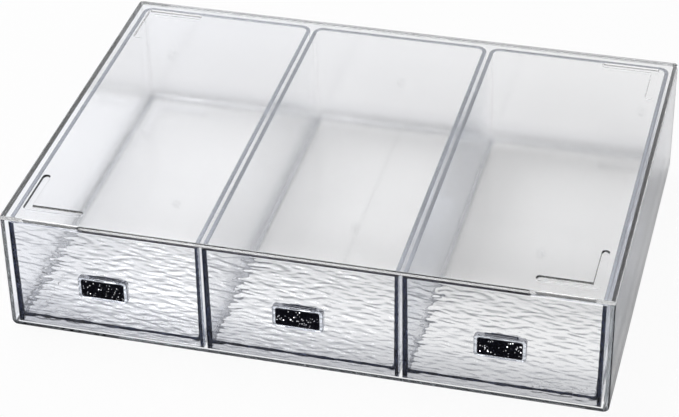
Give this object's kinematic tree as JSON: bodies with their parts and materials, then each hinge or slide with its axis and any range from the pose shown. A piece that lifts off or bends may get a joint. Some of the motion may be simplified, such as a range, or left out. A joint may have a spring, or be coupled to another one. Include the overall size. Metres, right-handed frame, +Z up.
{
  "type": "desktop drawer organizer",
  "caption": "Clear desktop organizer: a low moulded case with a flat stackable top and side-by-side sliding drawers with rippled fronts and small inlaid knobs.",
  "frame": {"origin": "on the table surface, under the middle of the overall box, knobs included", "axes": "+X to the user's right along the width, +Y from the drawer fronts to the back, +Z up"},
  "size_m": [0.28, 0.205, 0.0625],
  "materials": {
    "clear_case": "clear moulded plastic, polished, faintly grey at its edges",
    "clear_top": "clear moulded plastic with a faint haze, sharp for what lies close under it and soft for what lies deep",
    "clear_tray": "clear moulded plastic, polished, navy where it is seen edge on",
    "rippled_front": "clear moulded plastic with a water-ripple outside",
    "clear_knob": "clear moulded plastic, polished",
    "glitter_inlay": "black with fine bright glitter"
  },
  "bodies": {
    "case": {"case_body": "clear_case", "top_plate": "clear_top"},
    "drawer_left": {"drawer_tray_left": "clear_tray", "drawer_front_left": "rippled_front", "knob_left": "clear_knob", "knob_inlay_left": "glitter_inlay"},
    "drawer_middle": {"drawer_tray_middle": "clear_tray", "drawer_front_middle": "rippled_front", "knob_middle": "clear_knob", "knob_inlay_middle": "glitter_inlay"},
    "drawer_right": {"drawer_tray_right": "clear_tray", "drawer_front_right": "rippled_front", "knob_right": "clear_knob", "knob_inlay_right": "glitter_inlay"}
  },
  "joints": [
    {"name": "drawer_left_slide", "type": "slide", "parent": "case", "child": "drawer_left", "axis": [0, -1, 0], "range_m": [0, 0.15]},
    {"name": "drawer_middle_slide", "type": "slide", "parent": "case", "child": "drawer_middle", "axis": [0, -1, 0], "range_m": [0, 0.15]},
    {"name": "drawer_right_slide", "type": "slide", "parent": "case", "child": "drawer_right", "axis": [0, -1, 0], "range_m": [0, 0.15]}
  ]
}
